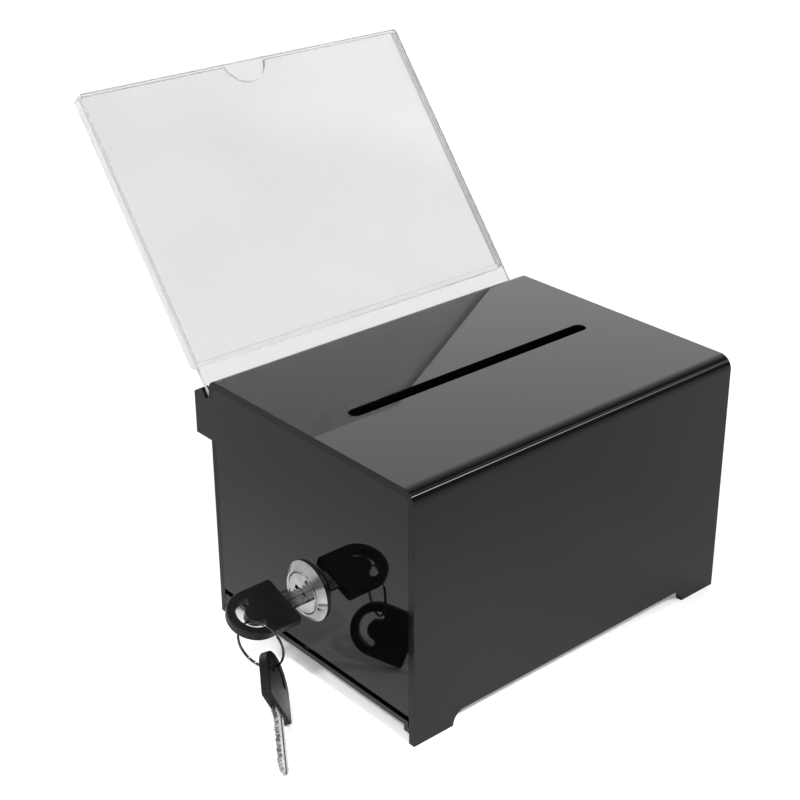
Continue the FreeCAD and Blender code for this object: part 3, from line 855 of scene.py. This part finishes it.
def world_math(operation, first, second):
    both = world_tree.nodes.new("ShaderNodeMath")
    both.operation = operation
    world_tree.links.new(first, both.inputs[0])
    world_tree.links.new(second, both.inputs[1])
    return both.outputs["Value"]


in_front = world_step(parts.outputs["Y"], start=0.15, end=-0.25)
raised = world_step(parts.outputs["Z"], start=0.02, end=0.22)
room_share = world_math("MULTIPLY", in_front, raised)
room = world_step(room_share, start=0, end=1, low=backdrop_light, high=room_dark)
glow = world_tree.nodes.new("ShaderNodeVectorMath")
glow.operation = "DOT_PRODUCT"
world_tree.links.new(direction.outputs["Generated"], glow.inputs[0])
glow.inputs[1].default_value = glow_toward
lit_back = world_step(glow.outputs["Value"], start=glow_edge, end=glow_core, high=backdrop_glow)
box_band = world_math("MULTIPLY", world_step(parts.outputs["Y"], start=-0.475, end=-0.44),
                      world_step(parts.outputs["Y"], start=-0.32, end=-0.37))
box_reach = world_math("MULTIPLY", world_step(parts.outputs["X"], start=0.44, end=0.68),
                       world_step(parts.outputs["X"], start=0.82, end=0.74, high=soft_box_light))
soft_box = world_math("MULTIPLY", box_band, box_reach)
backdrop = world_math("ADD", room, lit_back)
world_shader = world_tree.nodes["Background"]
world_tree.links.new(world_math("ADD", backdrop, soft_box), world_shader.inputs["Strength"])
world_shader.inputs["Color"].default_value = (1, 1, 1, 1)
bpy.context.scene.world = world


def hang_lamp(name, place, aim, width, length, radiance):
    """A flat lamp that faces a point; its power follows from how bright its face is."""
    lamp = bpy.data.lights.new(name, "AREA")
    lamp.shape = "RECTANGLE"
    lamp.size = length
    lamp.size_y = width
    lamp.energy = radiance * math.pi * width * length
    lamp_object = bpy.data.objects.new(name, lamp)
    toward = (place - aim).normalized()
    across = Vector((1, 0, 0)) - toward * toward.x
    across.normalize()
    turned = Matrix((across, toward.cross(across), toward)).transposed().to_4x4()
    lamp_object.matrix_world = Matrix.Translation(place) @ turned
    bpy.context.scene.collection.objects.link(lamp_object)
    return lamp


def hang_spot(name, place, aim, power):
    """A spot lamp with a soft edge, for a pool of light at the box's foot."""
    spot = bpy.data.lights.new(name, "SPOT")
    spot.energy = power
    spot.spot_size = spot_cone
    spot.spot_blend = 1.0
    spot.shadow_soft_size = spot_softness
    spot_object = bpy.data.objects.new(name, spot)
    turned = (place - aim).to_track_quat("Z", "Y").to_matrix().to_4x4()
    spot_object.matrix_world = Matrix.Translation(place) @ turned
    bpy.context.scene.collection.objects.link(spot_object)


hang_lamp("soft lamp", place=Vector((-0.54, -0.66, 0.84)), aim=Vector((0, 0, 0.05)),
          width=0.6, length=0.6, radiance=1.2)
hang_spot("front spot", place=Vector((-0.1, -0.86, 1.1)), aim=Vector((-0.042, -0.07, 0)), power=76)
hang_spot("left spot", place=Vector((-0.9, -0.3, 1.1)), aim=Vector((-0.11, -0.01, 0)), power=45)
strip = hang_lamp("strip lamp", place=Vector((0.652, -0.589, 0.603)), aim=Vector((0, -0.057, 0.098)),
                  width=0.08, length=0.56, radiance=42.0)
strip.use_nodes = True
strip_tree = strip.node_tree
lamp_face = strip_tree.nodes.new("ShaderNodeNewGeometry")
face_parts = strip_tree.nodes.new("ShaderNodeSeparateXYZ")
fade = strip_tree.nodes.new("ShaderNodeMapRange")
fade.inputs["To Min"].default_value = 1.0
fade.inputs["To Max"].default_value = strip_far_end
falloff = strip_tree.nodes.new("ShaderNodeMath")
falloff.operation = "POWER"
falloff.inputs[1].default_value = strip_falloff
strip_tree.links.new(lamp_face.outputs["Parametric"], face_parts.inputs["Vector"])
strip_tree.links.new(face_parts.outputs["X"], fade.inputs["Value"])
strip_tree.links.new(fade.outputs["Result"], falloff.inputs[0])
strip_tree.links.new(falloff.outputs["Value"], strip_tree.nodes["Emission"].inputs["Strength"])

# Camera: at the photograph's angle, distance and focal length, which were worked out from the places
# of the box's corners in it.
camera_azimuth = math.radians(-40.6621)
camera_elevation = math.radians(25.9899)
camera_roll = math.radians(-0.3088)
camera_distance = 0.6296675
camera_shift = (-0.027378, 0.0331774)
camera_aim = Vector((0, 0, 0.05))
focal_pixels = 1640.03
image_pixels = 800
camera_sensor = 36
back = Vector((math.sin(camera_azimuth) * math.cos(camera_elevation),
               -math.cos(camera_azimuth) * math.cos(camera_elevation), math.sin(camera_elevation)))
level = Vector((0, 0, 1)).cross(back).normalized()
rise = back.cross(level)
right = level * math.cos(camera_roll) + rise * math.sin(camera_roll)
up = rise * math.cos(camera_roll) - level * math.sin(camera_roll)
camera = bpy.data.cameras.new("photo camera")
camera.sensor_width = camera_sensor
camera.lens = focal_pixels * camera_sensor / image_pixels
camera_object = bpy.data.objects.new("photo camera", camera)
camera_place = camera_aim + back * camera_distance + right * camera_shift[0] + up * camera_shift[1]
camera_turn = Matrix((right, up, back)).transposed().to_4x4()
camera_object.matrix_world = Matrix.Translation(camera_place) @ camera_turn
bpy.context.scene.collection.objects.link(camera_object)
bpy.context.scene.camera = camera_object
bpy.context.scene.view_settings.view_transform = "Standard"
